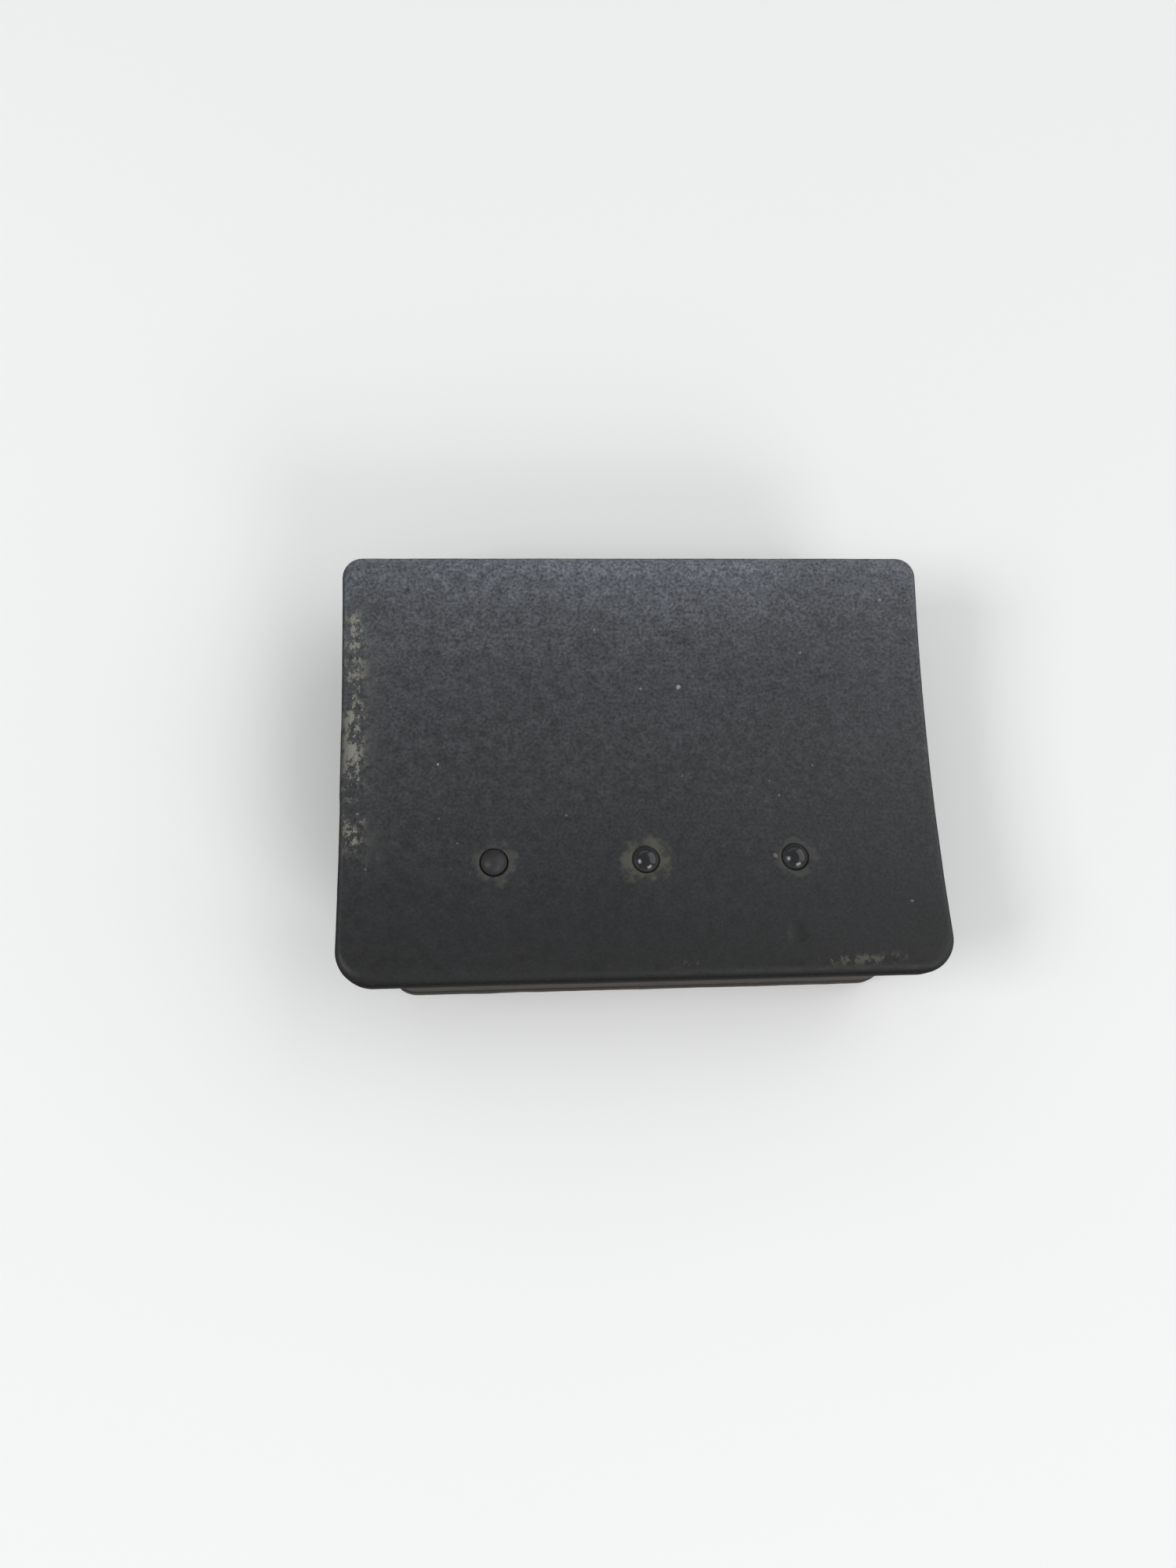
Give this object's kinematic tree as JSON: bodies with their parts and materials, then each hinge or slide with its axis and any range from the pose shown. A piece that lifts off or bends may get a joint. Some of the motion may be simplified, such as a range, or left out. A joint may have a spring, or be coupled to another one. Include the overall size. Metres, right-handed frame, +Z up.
{
  "type": "raised pavement marker",
  "caption": "Low rectangular road marker: a matte black cover dished front to back, glass beads in a row near its front edge, on a narrower brown base with an adhesive pad.",
  "frame": {"origin": "centre of the marker's plan, on the road surface under the adhesive pad", "axes": "+Z up from the road, +X along the marker's long side, -Y towards oncoming traffic, the edge that the beads are near"},
  "size_m": [0.1, 0.073, 0.02],
  "materials": {
    "cover_black": "moulded matte, dusty, worn at the left edge",
    "tray_brown": "moulded matte, dusty",
    "fill_resin": "rough sand-filled resin",
    "rubber_black": "matte",
    "pad_butyl": "dull, slightly uneven",
    "carrier_plastic": "satin",
    "bead_glass": "glossy, nearly black",
    "cup_aluminium": "bright",
    "insert_brass": "satin",
    "screw_steel": "zinc plated"
  },
  "bodies": {
    "root": {"cover": "cover_black", "base_tray": "tray_brown", "core_fill": "fill_resin", "cover_gasket": "rubber_black", "adhesive_pad": "pad_butyl", "bead_carrier": "carrier_plastic", "bead_left": "bead_glass", "bead_seal_left": "rubber_black", "reflector_cup_left": "cup_aluminium", "bead_centre": "bead_glass", "bead_seal_centre": "rubber_black", "reflector_cup_centre": "cup_aluminium", "bead_right": "bead_glass", "bead_seal_right": "rubber_black", "reflector_cup_right": "cup_aluminium", "carrier_screw_left": "screw_steel", "carrier_screw_right": "screw_steel", "threaded_insert_1": "insert_brass", "base_screw_1": "screw_steel", "threaded_insert_2": "insert_brass", "base_screw_2": "screw_steel", "threaded_insert_3": "insert_brass", "base_screw_3": "screw_steel", "threaded_insert_4": "insert_brass", "base_screw_4": "screw_steel"}
  },
  "joints": []
}
